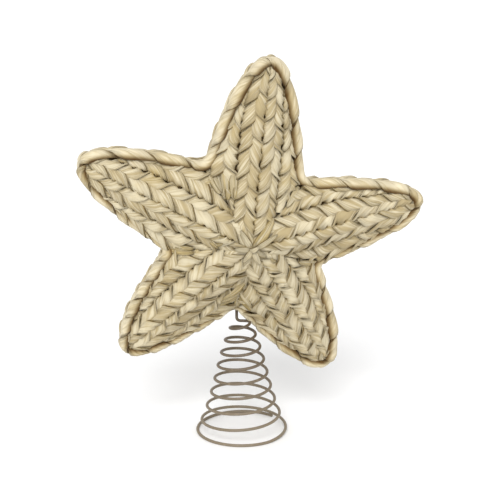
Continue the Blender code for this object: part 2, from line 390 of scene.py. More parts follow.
# %% Values stored on points
VECTORS = ("across", "outward", "bed", "ring", "section", "fibre")


def kind_of(name):
    return "FLOAT_VECTOR" if name in VECTORS else "FLOAT"


def stored(graph, geometry, **values):
    """A geometry with values stored on its points."""
    for name, value in values.items():
        inputs = {"Geometry": geometry, "Name": name, "Value": value}
        geometry = graph.add("GeometryNodeStoreNamedAttribute", inputs, data_type=kind_of(name))
    return geometry


def named(graph, *names):
    """Stored values by their names: a single one, or a list to unpack."""
    values = []
    for name in names:
        inputs = {"Name": name}
        values.append(graph.add("GeometryNodeInputNamedAttribute", inputs, data_type=kind_of(name)))
    return values if len(values) > 1 else values[0]


# %% Guides, sections and sweeps
def moved(graph, geometry, offset):
    return graph.add("GeometryNodeSetPosition", {"Geometry": geometry, "Offset": offset})


def placed(graph, geometry, place):
    return graph.add("GeometryNodeSetPosition", {"Geometry": geometry, "Position": place})


def here(graph):
    return graph.add("GeometryNodeInputPosition")


def run_along(graph):
    return graph.add("GeometryNodeSplineParameter", out="Length")


def rail_on(graph, given):
    """The guide as a curve with points at every step."""
    guide = graph.add("GeometryNodeMeshToCurve", {"Mesh": given["Geometry"]})
    inputs = {"Curve": guide, "Length": given["Step"]}
    return graph.add("GeometryNodeResampleCurve", inputs, mode="LENGTH")


def faced(graph, curve, direction):
    """A curve whose normals look in a direction, as far as its own run allows."""
    tangent = graph.add("GeometryNodeInputTangent")
    square = (direction - tangent * direction.dot(tangent)).vector("NORMALIZE")
    return graph.add("GeometryNodeSetCurveNormal", {"Curve": curve, "Normal": square}, mode="FREE")


def flat_section(graph, sides, thickness, width, crowding, squareness):
    """A flat closed section, its points crowded on the side that shows, which keeps its place in "ring"."""
    circle = graph.add("GeometryNodeCurvePrimitiveCircle", {"Resolution": sides, "Radius": 1.0})
    around = graph.add("GeometryNodeSplineParameter", out="Factor") * math.tau
    angle = around - around.sine() * crowding
    x, y = angle.cosine(), angle.sine()
    circle = stored(graph, circle, ring=graph.xyz(x, y, 0.0))
    flat_x, flat_y = (n.math("SIGN") * n.size().math("POWER", squareness) for n in (x, y))
    place = graph.xyz(flat_x * thickness, flat_y * width, 0.0)
    return stored(graph, placed(graph, circle, place), section=place)


def swept(graph, curve, section, size=1.0):
    sockets = {"Curve": curve, "Profile Curve": section, "Scale": size, "Fill Caps": True}
    return graph.add("GeometryNodeCurveToMesh", sockets)


def wrinkled(graph, mesh, relief):
    """A mesh with its skin pushed in and out."""
    return moved(graph, mesh, graph.add("GeometryNodeInputNormal") * relief)


# %% Folding a band
QUARTER_TURN = math.pi / 2
LEVELLING = 6.0


def fold(phase, sharpness):
    """Where a band lies across the braid, from -1 to 1, and how fast that changes with the phase."""
    bent = phase.sine() * sharpness
    widest = sharpness.math("ARCSINE")
    slope = phase.cosine() * sharpness / (1.0 - bent * bent).math("SQRT") / widest
    return bent.math("ARCSINE") / widest, slope


def levelled(height):
    """A height that levels off towards 1 or -1, and its rate of change."""
    bulk = height.size().math("POWER", LEVELLING) + 1.0
    return height / bulk.math("POWER", 1 / LEVELLING), bulk.math("POWER", -1 - 1 / LEVELLING)


def wobble(graph, given, x, y, z):
    """Hand work: a smooth random number between plus and minus half the unevenness."""
    return (graph.noise(graph.xyz(x, y, z), 1.0) - 0.5) * given["Unevenness"]


# %% Ending in a seam
# A strand ends this deep in its seam: a share of its half width, and a length
CUT_SHARE = -0.75
CUT_DEPTH = 0.0035


def seam_distance(given, place):
    return place.dot(given["Seam Normal"]) + given["Seam Offset"]


def trimmed(graph, given, curve, place):
    """A curve that ends soon after it has gone down into the seam."""
    limit = named(graph, "half") * CUT_SHARE - CUT_DEPTH
    inputs = {"Geometry": curve, "Selection": seam_distance(given, place).math("LESS_THAN", limit)}
    return graph.add("GeometryNodeDeleteGeometry", inputs, domain="POINT")


def rolled_into_seam(graph, given, mesh):
    """Where two arms meet, the braid rolls over and goes down into the seam."""
    outward, half, bed = named(graph, "outward", "half", "bed")
    place = here(graph)
    # The depth in the braid, from which the straw finish paints shade low in the braid and in its crevices
    mesh = stored(graph, mesh, depth=(place - bed).dot(outward) / half)
    height = named(graph, "depth") * half
    radius = given["Seam Roll"]
    passed = (radius - seam_distance(given, place)).math("MAXIMUM", 0.0)
    angle = (passed / radius).math("MINIMUM", QUARTER_TURN)
    beyond = (passed - radius * QUARTER_TURN).math("MAXIMUM", 0.0)
    top = half * (given["Lift"] + given["Band Thickness"])
    arm = radius - top + height
    side_shift = passed - arm * angle.sine()
    lowering = arm * (angle.cosine() - 1.0) - beyond
    shift = given["Seam Normal"] * side_shift + given["Front"] * lowering
    return moved(graph, mesh, shift * passed.math("GREATER_THAN", 0.0))


# %% The three strands
BAND_CROWDING = 0.30
BAND_SQUARENESS = 0.70
FIBRES_PER_METRE = 40.0
CREASE_SHARPNESS = 11.0
LEAST_SLOPE = 0.02


def add_strands(graph, given, rail):
    """The three folded bands on the rail, with their tints, creases and pleats."""
    inputs = {"Geometry": rail, "Amount": given["Strands"]}
    copies = graph.add("GeometryNodeDuplicateElements", inputs, domain="SPLINE")
    strand = Value(graph, copies.socket.node.outputs["Duplicate Index"])
    seed = given["Seed"]
    half, across, outward = named(graph, "half", "across", "outward")
    tint = graph.add("FunctionNodeRandomValue", {"ID": strand, "Seed": seed}, data_type="FLOAT")
    strands = stored(graph, copies, tint=tint, run=run_along(graph), strand=strand * 1.0)

    # No two strands or lobes are quite the same. The odd factors only keep the three wobbles apart
    tint, run, beat = named(graph, "tint", "run", "beat")
    beat = beat + wobble(graph, given, run * 22.0, seed * 3.3, 5.0) * 0.4
    uneven = wobble(graph, given, beat * 3.1, tint * 40.0, seed * 1.7) * 2.0
    slip = wobble(graph, given, beat * 2.3 + 9.0, tint * 31.0, seed * 2.9)
    turn = (beat + named(graph, "strand") / 3.0) * math.tau + slip
    strands = stored(graph, strands, turn=turn, uneven=uneven)
    turn, uneven = named(graph, "turn", "uneven")
    middle = here(graph) + across * (half * fold(turn, given["Fold Sharpness"])[0])
    strands = trimmed(graph, given, strands, middle)

    # Sweep straight bands, then fold them across and lift them over one another
    sizes = given["Band Thickness"], given["Band Width"]
    section = flat_section(graph, given["Sides"], *sizes, BAND_CROWDING, BAND_SQUARENESS)
    mesh = swept(graph, strands, section, half)
    section = named(graph, "section")
    thick = section.part("X")
    off_middle = section.part("Y") * (1.0 - (turn * 2.0).cosine() * given["Leaf"] + uneven * 0.5)
    phase = turn + off_middle * QUARTER_TURN
    side, side_slope = fold(phase, given["Fold Sharpness"])
    running = side_slope * given["Spread"] * QUARTER_TURN
    wave, wave_slope = levelled((phase * 2.0).sine() * given["Fullness"])
    lift = given["Lift"] * (1.0 + uneven * 0.6)
    height = wave * lift - off_middle * given["Overlap Slope"]
    rising = (phase * 2.0).cosine() * wave_slope * lift * given["Fullness"] * math.pi - given["Overlap Slope"]
    steep = (rising * rising + running * running).math("SQRT").math("MAXIMUM", LEAST_SLOPE)
    buried = 1.0 - (run / given["Tuck Length"]).clamp()
    x = half * (side * given["Spread"] - thick * rising / steep)
    y = half * (height + thick * running / steep) - buried * buried * given["Tuck Depth"]
    mesh = placed(graph, mesh, named(graph, "bed") + across * x + outward * y)

    # Fibres run along each band, and pleats and creases follow them
    fibre = named(graph, "ring") + graph.xyz(0.0, 0.0, 1.0) * (run * FIBRES_PER_METRE + tint * 50.0)
    mesh = stored(graph, mesh, fibre=fibre)
    fibre = named(graph, "fibre")
    pleats = graph.noise(fibre.stretched(2.4, 0.9))
    folds = graph.noise(fibre.stretched(1.25, 0.55) + graph.xyz(7.0, 3.0, 1.0), 0.0)
    crease = 1.0 - ((folds - 0.5).size() * CREASE_SHARPNESS).math("MINIMUM", 1.0)
    # The creases are pressed in below, and the straw finish paints shade in them
    mesh = stored(graph, mesh, crease=crease)
    relief = (pleats - 0.5) * given["Pleat Depth"] * 2.0 - crease * given["Crease Depth"]
    return wrinkled(graph, mesh, relief)


# %% The bed under the strands
BED_SIDES = 20
BED_THICKNESS = 0.26
BED_SQUARENESS = 0.45


def add_bed(graph, given, rail):
    """The straw that the strands lie on, which closes every gap between them."""
    half, outward = named(graph, "half", "outward")
    bed = stored(graph, rail, tint=0.5, run=run_along(graph))
    bed = moved(graph, bed, outward * (half * given["Bed Depth"] * -1.0))
    bed = trimmed(graph, given, faced(graph, bed, outward), here(graph))
    section = flat_section(graph, BED_SIDES, BED_THICKNESS, given["Bed Reach"], 0.0, BED_SQUARENESS)
    mesh = swept(graph, bed, section, half)
    ring, run = named(graph, "ring", "run")
    fibre = ring * 3.0 + graph.xyz(0.0, 0.0, FIBRES_PER_METRE) * run
    return stored(graph, mesh, fibre=fibre, crease=0.0)


# %% The whole tree
def make_braid_tree():
    graph, given = new_tree("three_strand_braid", BRAID_INPUTS)
    rail = stored(graph, rail_on(graph, given), bed=here(graph))
    strands = add_strands(graph, given, rail)
    both = graph.add("GeometryNodeJoinGeometry", {"Geometry": add_bed(graph, given, rail)})
    graph.feed(both.socket.node, "Geometry", strands)
    return close_tree(graph, rolled_into_seam(graph, given, both), given["Material"])


BRAID_TREE = make_braid_tree()
print(f"braid tree: {len(BRAID_TREE.nodes)} nodes")

# %% [markdown]
# ## From a tree to a plain mesh
#
# A modifier could stay live, but a finished piece travels better as a plain mesh. So the guide object gets
# the tree as a modifier, its inputs are set by their identifiers, the evaluated result is copied into a new
# mesh, and the guide is thrown away.


# %% Guides and finished pieces
def put_values(mesh, name, values):
    """Stores numbers or vectors on a mesh's points, where a tree or a finish reads them by name."""
    layer = mesh.attributes.new(name, kind_of(name), "POINT")
    layer.data.foreach_set("vector" if name in VECTORS else "value", np.ravel(values))


def add_object(name, data):
    """Puts data into the scene as a new object."""
    item = bpy.data.objects.new(name, data)
    bpy.context.scene.collection.objects.link(item)
    return item


def make_guide(points, starts=(0,), **values):
    """Lines through points that carry values. A new line begins at each number in starts."""
    mesh = bpy.data.meshes.new("guide")
    mesh.from_pydata(points, [(k, k + 1) for k in range(len(points) - 1) if k + 1 not in starts], [])
    for name, numbers in values.items():
        put_values(mesh, name, numbers)
    return add_object("guide", mesh)


def grow(name, guide, tree, sizes, matrix=STAR):
    """Runs a tree on a guide and keeps the result as a plain mesh object in its final place."""
    modifier = guide.modifiers.new("grow", "NODES")
    modifier.node_group = tree
    identifiers = {item.name: item.identifier for item in tree.interface.items_tree if item.in_out == "INPUT"}
    for label, value in sizes.items():
        modifier[identifiers[label]] = value
    evaluated = guide.evaluated_get(bpy.context.evaluated_depsgraph_get())
    mesh = bpy.data.meshes.new_from_object(evaluated)
    guide.modifiers.remove(modifier)
    bpy.data.objects.remove(guide)
    mesh.transform(matrix)
    mesh.name = name
    return add_object(name, mesh)


def finish_piece(piece, slot, *nodes):
    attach(piece, "root")
    if nodes:
        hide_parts(*nodes)
    print(f"{piece.name}: {len(piece.data.polygons)} faces")


# %% [markdown]
# ## Straw
#
# Dry husk is pale and matt with a faint silky streak along the fibres. It turns ochre along the folded edges.
# Shade is painted as well: ochre low in the braid, brown in the crevices between the lobes. A picture of husk
# could be wrapped on, but the fibres have to follow every fold, so the finish is sums of noise in the
# strands' own coordinates. The tree stored these on the surface: a fibre vector that runs along each strand,
# a tint for each strand, the creases, and the depth in the braid, which sets the painted shade. The loose
# husk further down adds its age.


# %% The straw finish
def new_finish(name):
    """A material with no nodes yet, and its graph."""
    material = bpy.data.materials.new(name)
    material.use_nodes = True
    material.node_tree.nodes.clear()
    return material, Graph(material.node_tree)


def close_finish(graph, looks):
    """The last steps of every finish: the shader with its looks, and the output."""
    shader = graph.add("ShaderNodeBsdfPrincipled", looks)
    graph.add("ShaderNodeOutputMaterial", {"Surface": shader})


def make_straw(name, pale, shade, ochre, age_and_shade_brown):
    material, graph = new_finish(name)
    fibre = graph.add("ShaderNodeAttribute", out="Vector", attribute_name="fibre")
    tint, depth, crease, age = (
        graph.add("ShaderNodeAttribute", out="Fac", attribute_name=label)
        for label in ("tint", "depth", "crease", "age")
    )
    where = graph.add("ShaderNodeTexCoord", out="Object")

    # Along the fibres: broad stripes, streaks and fine threads. On the whole piece: patches and worn places
    stripes = graph.noise(fibre.stretched(3.0, 0.7))
    streaks = graph.noise(fibre.stretched(8.0, 0.9), 2.0, 0.6)
    threads = graph.noise(fibre.stretched(18.0, 1.2), 2.0, 0.6)
    blotch = graph.noise(graph.xyz(fibre.part("Z") * 1.1, 0.0, 0.0), 1.0)
    patches = graph.noise(where, 3.0, 0.6, 90.0)
    wear = graph.noise(where, 3.0, 0.65, 28.0)

    grain = stripes * 0.12 + streaks * 0.50 + threads * 0.38
    grain = grain + (tint - 0.5) * 0.12 + (blotch - 0.5) * 0.26
    colour = graph.mix(pale, shade, grain.ramp(0.415, 0.605))

    # Ochre on folded edges, worn places and aged husk
    off_middle = fibre.part("Y").size()
    edge = off_middle.ramp(0.68, 0.94) * (patches.ramp(0.40, 0.60) * 0.35 + 0.40)
    old = (wear * 0.6 + patches * 0.4).ramp(0.54, 0.68) * 0.35
    colour = graph.mix(colour, ochre, (edge + old).clamp())
    colour = graph.mix(colour, ochre, (age * stripes.ramp(0.30, 0.60)).clamp())
    colour = graph.mix(colour, age_and_shade_brown, (age * streaks.ramp(0.50, 0.72) * 0.75).clamp())

    # Painted shade: ochre low in the braid, and brown in the crevices, the creases and along a strand's edge
    colour = graph.mix(colour, ochre, (1.0 - depth.ramp(-0.30, 0.26)) * 0.75)
    sunk_shade = (1.0 - depth.ramp(-0.42, 0.09)) * 0.95
    edge_shade = off_middle.ramp(0.84, 0.98) * (patches.ramp(0.35, 0.60) * 0.38 + 0.46)
    colour = graph.mix(colour, age_and_shade_brown, (sunk_shade + crease.ramp(0.3, 1.0) * 0.18 + edge_shade).clamp())

    relief = streaks * 0.6 + threads * 0.4
    close_finish(graph, {
        "Base Color": colour,
        "Roughness": 0.56 + (streaks - 0.5) * 0.3,
        "Specular IOR Level": 0.22,
        "Sheen Weight": 0.04,
        "Sheen Roughness": 0.5,
        "Normal": graph.add("ShaderNodeBump", {"Strength": 1.0, "Distance": 0.0015, "Height": relief}),
    })
    return material


# %% The three straws: their pale, shaded, ochre and brown colours; the brown is for aged husk and for painted shade
STRAW_COLOURS = {
    "front_straw": ((0.635, 0.56, 0.39), (0.425, 0.34, 0.185), (0.47, 0.345, 0.12), (0.11, 0.055, 0.010)),
    "back_straw": ((0.65, 0.57, 0.40), (0.42, 0.335, 0.185), (0.43, 0.30, 0.11), (0.10, 0.05, 0.010)),
    # The rim's straw is lighter than the faces': painted light, for the light on the rim's upper side
    "rim_straw": ((0.71, 0.63, 0.45), (0.51, 0.42, 0.245), (0.50, 0.38, 0.17), (0.11, 0.055, 0.010)),
}
STRAW = {name: make_straw(name, *colours) for name, colours in STRAW_COLOURS.items()}
print("straw finishes:", *STRAW)

# %% [markdown]
# ## The face braids
#
# On each side of an arm's ridge two braids run from the tip to the seam where the next arm begins. The inner
# one keeps to the ridge, the outer one fills the rest of the width and slips under the rim, and both narrow
# where the arm does. They could be one braid copied forty times, but then none would fit its place, so each
# grows on a guide of its own. Their lobes point to the tip, so the guide starts there.

# %% Lanes on an arm
FACINGS = {"front": 1, "back": -1}
INNER_BRAID_WIDTH = 0.0147
SEAM_SHARE = 0.64
TIP_SEAM_SHARE = 0.92
TIP_RUN = (0.012, 0.040)
LOWER_SIDE_REACH = {1: 0.0042, -1: 0.0}
RIM_THICKNESS = 0.0065
RIM_TUCK = 0.0020
RIM_SEAM_DIP = (0.0030, 0.0030, 0.0016, 0.0016, 0.0030)
DIP_RUN = 0.0100
APEX_WIDTH = 0.0012
SEAM_OVERHANG = 0.0050


def lane(arm, side, name, facing, along):
    """The inner and outer edge of a braid at a distance along its arm, and how far its outer edge dips."""
    valley_along, valley_out = arm.local(arm.valleys[side], side)
    down = arm.facing_down(side)
    inside = arm.half_width(max(along, valley_along), side) - RIM_THICKNESS + LOWER_SIDE_REACH[facing] * down
    from_tip = (arm.length - along - TIP_RUN[0]) / (TIP_RUN[1] - TIP_RUN[0])
    share = TIP_SEAM_SHARE + (SEAM_SHARE - TIP_SEAM_SHARE) * min(max(from_tip, 0.0), 1.0)
    seam = min(INNER_BRAID_WIDTH, share * inside)
    to_seam = max(along, 0.0) * valley_out / valley_along
    if name == "inner":
        return 0.0, min(seam, to_seam + APEX_WIDTH), 0.0
    dip = RIM_SEAM_DIP[arm.index] * (1 - down) * min(max((along - valley_along) / DIP_RUN, 0.0), 1.0)
    return seam, min(inside + RIM_TUCK, max(to_seam, seam) + SEAM_OVERHANG), dip


halfway = [lane(arm, 1, "inner", 1, arm.length / 2)[1] for arm in ARMS]
print("inner braids halfway along the arms, in mm:", [round(width * 1000, 1) for width in halfway])

# %% A braid's guide
GUIDE_STEP = 0.0015
SLOPE_STEP = 0.001
INNER_START = 0.002
OUTER_START = 0.024
LANE_ENDS = {"inner": 0.0, "outer": 0.014}
EARLY_ENDS = {("front", "top", 1, "outer"): 0.024}
LANE_PRESS = 1.12
FACE_SINK = 0.22
LOBE_PITCH = 0.0170
LOBE_LEAST = 0.45
LOBE_MOST = 1.05


def face_guide(arm, side, name, facing, phase, end):
    """The guide of one face braid, from near the tip to the end of its lane."""
    start = arm.length - (RIM_THICKNESS - INNER_START if name == "inner" else OUTER_START)
    count = math.ceil((start - end) / GUIDE_STEP) + 1
    beat = phase
    rows = []
    for k in range(count):
        along = start + (end - start) * k / (count - 1)
        low, high, dip = lane(arm, side, name, facing, along)
        middle, width = (low + high) / 2, high - low
        place = arm.place(along, middle, side, facing, FACE_SINK * width / 2 + dip / 2)
        out = (arm.place(along, high, side, facing, dip) - arm.place(along, low, side, facing)).normalized()
        back, on = (arm.place(along + step, middle, side, facing) for step in (SLOPE_STEP, -SLOPE_STEP))
        ahead = on - back
        outward = out.cross(ahead).normalized()
        if outward.y * facing > 0:
            outward = -outward
        if rows:
            # Lobes get shorter where the lane narrows towards the tip
            near_tip = along > arm.length / 2
            tight = LOBE_LEAST + (1 - LOBE_LEAST) * width / INNER_BRAID_WIDTH if near_tip else 1.0
            beat += (place - rows[-1][0]).length / (3 * LOBE_PITCH * min(tight, LOBE_MOST))
        rows.append((place, ahead.cross(outward).normalized(), outward, width / 2 * LANE_PRESS, beat))
    points, across, outward, half, beat = zip(*rows)
    return make_guide(points, across=across, outward=outward, half=half, beat=beat)


def seam_normal(arm, side):
    """The direction from the seam with the next arm into this arm's share."""
    valley = arm.valleys[side].normalized()
    normal = Vector((valley.y, -valley.x))
    if normal.dot(arm.axis) < 0:
        normal = -normal
    return Vector((normal.x, 0.0, normal.y))


# %% Braid the faces
# Only outer braids reach a seam and roll into it, and the back is a little coarser
LANE_SIZES = {"inner": {}, "outer": {"Seam Offset": 0.0, "Bed Reach": 1.35}}
FACE_SIZES = {"front": {}, "back": {"Step": 0.0020, "Sides": 18}}
faces = []
for index, arm in enumerate(ARMS):
    for side, side_name in ((-1, "left"), (1, "right")):
        for name in ("inner", "outer"):
            for face, facing in FACINGS.items():
                # Any factors will do here, so that the lobes of neighbours don't line up
                phase = 0.37 * index + 0.21 * side + (0.13 if name == "inner" else 0.0) + 0.4 * facing
                end = EARLY_ENDS.get((face, arm.name, side, name), LANE_ENDS[name])
                node = f"{face}_{arm.name}_{name}_{side_name}"
                down = arm.facing_down(side)
                piece = grow(f"{node}_straw", face_guide(arm, side, name, facing, phase, end), BRAID_TREE, {
                    **LANE_SIZES[name],
                    **FACE_SIZES[face],
                    "Lift": 0.20 - 0.05 * down,
                    "Unevenness": 0.65 + 0.35 * down,
                    "Seam Normal": seam_normal(arm, side),
                    "Front": (0.0, -facing, 0.0),
                    "Seed": len(faces),
                    "Material": STRAW[f"{face}_straw"],
                })
                finish_piece(piece, f"{face}_straw", node)
                faces.append(piece)
print(f"{len(faces)} face braids, {sum(len(p.data.polygons) for p in faces)} faces")

# %% [markdown]
# ## The rim
#
# The rim is the same braid stood on edge: its width runs from front to back, its outer face looks away from
# the star, and from the front only its rolled edge shows, like a rope. A twisted rope would look right from
# there but not from the side, so the braid's own tree makes it, with rounder folds. It was plaited by hand,
# so each arm has lobes of its own length. On upper sides it leans a little, so that the back lobes stay
# hidden, and on lower sides it is squeezed narrower and sags. It starts and ends in the valley where the
# wire goes in.

# %% The outline
SIDE_POINTS = 60
CORNER_STEPS = (0.2, 0.5, 0.8)


def outline_points():
    """The star's outline, clockwise from the bottom valley all the way round to it."""
    start = VALLEY_ROUNDING / (3 * SIDE_BULGE)
    steps = [start + (1 - start) * k / (SIDE_POINTS - 1) for k in range(SIDE_POINTS)]
    first = ARM_NAMES.index("lower_left")
    order = ARMS[first:] + ARMS[:first]
    points = []
    for arm, following in zip(order, order[1:] + order[:1]):
        points += [bezier(arm.side_controls(-1), t) for t in steps]
        points += [bezier(arm.side_controls(1), t) for t in steps[-2::-1]]
        corner = [points[-1], arm.valleys[1], bezier(following.side_controls(-1), start)]
        points += [bezier(corner, t) for t in CORNER_STEPS]
    return points[-len(CORNER_STEPS):] + points


def outline_run(step):
    """The outline in equal steps: its points, the directions out of it there, and its length."""
    places = np.array([tuple(p) for p in outline_points()])
    reach = np.concatenate([[0.0], np.cumsum(np.linalg.norm(np.diff(places, axis=0), axis=1))])
    wanted = np.linspace(0.0, reach[-1], round(reach[-1] / step) + 1)
    plan = np.stack([np.interp(wanted, reach, numbers) for numbers in places.T], axis=1)
    ahead = np.gradient(plan, axis=0)
    ahead /= np.linalg.norm(ahead, axis=1, keepdims=True)
    return plan, np.stack([-ahead[:, 1], ahead[:, 0]], axis=1), reach[-1]


print(f"outline: {outline_run(GUIDE_STEP)[2] * 1000:.0f} mm")

# %% The rim's path
RIM_DEPTH = 0.0166
RIM_LOBE_PITCH = (0.0250, 0.0250, 0.0240, 0.0175, 0.0265)
PITCH_BLEND = 10
RIM_INSET = RIM_THICKNESS * 0.675
RIM_FORWARD = 0.0015
RIM_SAG = 0.0026
RIM_SQUEEZE = 0.24
RIM_TILT = 0.19


def in_space(plan, share, depth):
    """Rows of x, y and z from a share of the plan's rows and their depths."""
    return np.stack([plan[:, 0] * share, depth, plan[:, 1] * share], axis=1)


def rim_guide():
    plan, normal, length = outline_run(GUIDE_STEP)
    facing_down = np.maximum(-normal[:, 1], 0.0)
    plan = plan - normal * (RIM_INSET - facing_down * RIM_SAG)[:, None]
    points = in_space(plan, 1.0, np.full(len(plan), -RIM_FORWARD))
    tilt = RIM_TILT * np.maximum(normal[:, 1], 0.0)
    outward = in_space(normal, np.cos(tilt), np.sin(tilt))
    across = in_space(normal, np.sin(tilt), -np.cos(tilt))
    half = RIM_DEPTH / 2 * (1 - RIM_SQUEEZE * facing_down)

    # Each arm's own pitch, blended over a few steps where one arm passes into the next
    nearest = (plan @ np.array([tuple(arm.axis) for arm in ARMS]).T).argmax(axis=1)
    window = 2 * PITCH_BLEND + 1
    pitch = np.pad(np.array(RIM_LOBE_PITCH)[nearest], PITCH_BLEND, mode="edge")
    pitch = np.convolve(pitch, np.ones(window) / window, mode="valid")
    beat = np.cumsum(length / (len(plan) - 1) / (3 * pitch))
    return make_guide(points.tolist(), across=across, outward=outward, half=half, beat=beat)


rim = grow("rim_straw_braid", rim_guide(), BRAID_TREE, {
    "Spread": 0.80,
    "Band Width": 0.70,
    "Band Thickness": 0.24,
    "Lift": 0.18,
    "Fold Sharpness": 0.72,
    "Unevenness": 0.60,
    "Bed Depth": 0.10,
    "Bed Reach": 0.70,
    "Step": 0.0013,
    "Sides": 26,
    "Seed": 101,
    "Material": STRAW["rim_straw"],
})
finish_piece(rim, "rim_straw", "rim_braid")

# %% [markdown]
# ## The ground in the seams
#
# Where two braids part, a ground shows between them: the surface that they are glued on, painted brown as
# shade. It could be left out, but then the seams open onto nothing. It is one plain skin a few millimetres
# below the faces, made of rows of points: the outline drawn smaller and smaller, each point dropped onto the
# faces.


# %% Points on the faces
AXIS_SLACK = 1e-6


def on_face(plan, facing, lift):
    """A point above the faces over a place in the plan, whichever arm is under it."""
    best = None
    for arm in ARMS:
        for side in (-1, 1):
            along, out = arm.local(plan, side)
            if out >= -AXIS_SLACK and along > 0:
                place = arm.place(along, out, side, facing)
                if best is None or facing * place.y < facing * best.y:
                    best = place
    best = best or Vector((plan.x, -facing * FACE_HEIGHT, plan.y))
    return best + Vector((0.0, -facing * lift, 0.0))


# %% The ground
GROUND_DEPTH = {1: 0.0036, -1: 0.0028}
GROUND_ROWS = (0.97, 0.92, 0.84, 0.75, 0.65, 0.55, 0.45, 0.35, 0.25, 0.15, 0.06)
GROUND_INSET = 0.0050
# The ground's depth value: from it the straw finish paints ochre and brown shade on the ground
GROUND_SHADE = -0.08
GROUND_FIBRES = 300


def row_of_faces(outer, inner, facing):
    """Quads between two closed rows of points, seen from outside."""
    quads = list(zip(outer, outer[1:] + outer[:1], inner[1:] + inner[:1], inner))
    return [quad[::-1] for quad in quads] if facing > 0 else quads


def make_ground(name):
    plan, normal, _ = outline_run(2 * GUIDE_STEP)
    plan = plan - normal * GROUND_INSET
    points = [Vector((x, 0.0, z)) for x, z in plan]
    quads = []
    for facing in FACINGS.values():
        outer = list(range(len(plan)))
        for share in GROUND_ROWS:
            inner = list(range(len(points), len(points) + len(plan)))
            points += [on_face(Vector(place) * share, facing, -GROUND_DEPTH[facing]) for place in plan]
            quads += row_of_faces(outer, inner, facing)
            outer = inner
        quads.append(outer if facing < 0 else outer[::-1])
    mesh = bpy.data.meshes.new(name)
    mesh.from_pydata([STAR @ point for point in points], [], quads)
    put_values(mesh, "fibre", np.array(points) * GROUND_FIBRES)
    put_values(mesh, "depth", [GROUND_SHADE] * len(points))
    mesh.materials.append(STRAW["back_straw"])
    return add_object(name, mesh)


finish_piece(make_ground("seam_ground"), "back_straw")

# %% [markdown]
# ## Loose ends of husk
#
# Where braids end, short pieces of husk stick out: a knot of them at the middle, tufts along the seams
# between the arms and above the wire, and longer strips in the valleys. They could be painted on, but the
# real ones stand proud and throw shadows. Each is a thin strip that starts below the surface, tapers to its
# tip and curls at its edges, darker where the husk has aged.

# %% The husk strip's tree
HUSK_INPUTS = {
    "Step": 0.0006,
    "Sides": 20,
    "Thickness": 0.20,
    "Curl": 0.30,
    "Wrinkle Depth": 0.0007,
    "Seed": 0,
    "Material": None,
}
HUSK_SQUARENESS = 0.8
HUSK_SHADE = 0.3


def make_husk_tree():
    graph, given = new_tree("husk_strip", HUSK_INPUTS)
    outward, half = named(graph, "outward", "half")
    rail = stored(graph, rail_on(graph, given), run=run_along(graph))
    section = flat_section(graph, given["Sides"], given["Thickness"], 1.0, 0.0, HUSK_SQUARENESS)
    mesh = swept(graph, faced(graph, rail, outward), section, half)
    side = named(graph, "section").part("Y")
    mesh = moved(graph, mesh, outward * (side * side * half * given["Curl"]))
    ring, run, beat = named(graph, "ring", "run", "beat")
    own = beat * 7.3 + given["Seed"] * 3.1
    mesh = stored(graph, mesh, fibre=ring + graph.xyz(own, 0.0, run * 60.0), depth=HUSK_SHADE)
    wrinkles = graph.noise(named(graph, "fibre").stretched(2.2, 0.5))
    mesh = wrinkled(graph, mesh, (wrinkles - 0.5) * given["Wrinkle Depth"] * 2.0)
    return close_tree(graph, mesh, given["Material"])


HUSK_TREE = make_husk_tree()
print(f"husk tree: {len(HUSK_TREE.nodes)} nodes")

# %% Where the strips lie
HUSK_POINTS = 14
ROOT_DEPTH = 1.6


def husk_guide(strips):
    """Front strips as (x, z, bearing, length, width, bend, lift, age), in mm and degrees on the plan."""
    rows = []
    for number, (x, z, bearing, length, width, bend, lift, age) in enumerate(strips):
        plan = Vector((x, z)) / 1000
        for k in range(HUSK_POINTS):
            # It rises from a root below the skin over two thirds of its length, and narrows to a blunt tip
            t = k / (HUSK_POINTS - 1)
            rise = lift * math.sin(min(t * 1.5, 1.0) * math.pi / 2) - ROOT_DEPTH * (1 - t) ** 4
            taper = min(0.55 + 1.5 * t, 1.0) * math.sqrt(max(1 - t**3, 0.03))
            rows.append((on_face(plan, FACINGS["front"], rise / 1000), width / 2000 * taper, number, age))
            plan = plan + heading(bearing + bend * t) * length / 1000 / (HUSK_POINTS - 1)
    points, half, beat, ages = zip(*rows)
    outward = [(0.0, -FACINGS["front"], 0.0)] * len(points)
    starts = range(0, len(points), HUSK_POINTS)
    return make_guide(points, starts, outward=outward, half=half, beat=beat, age=ages)


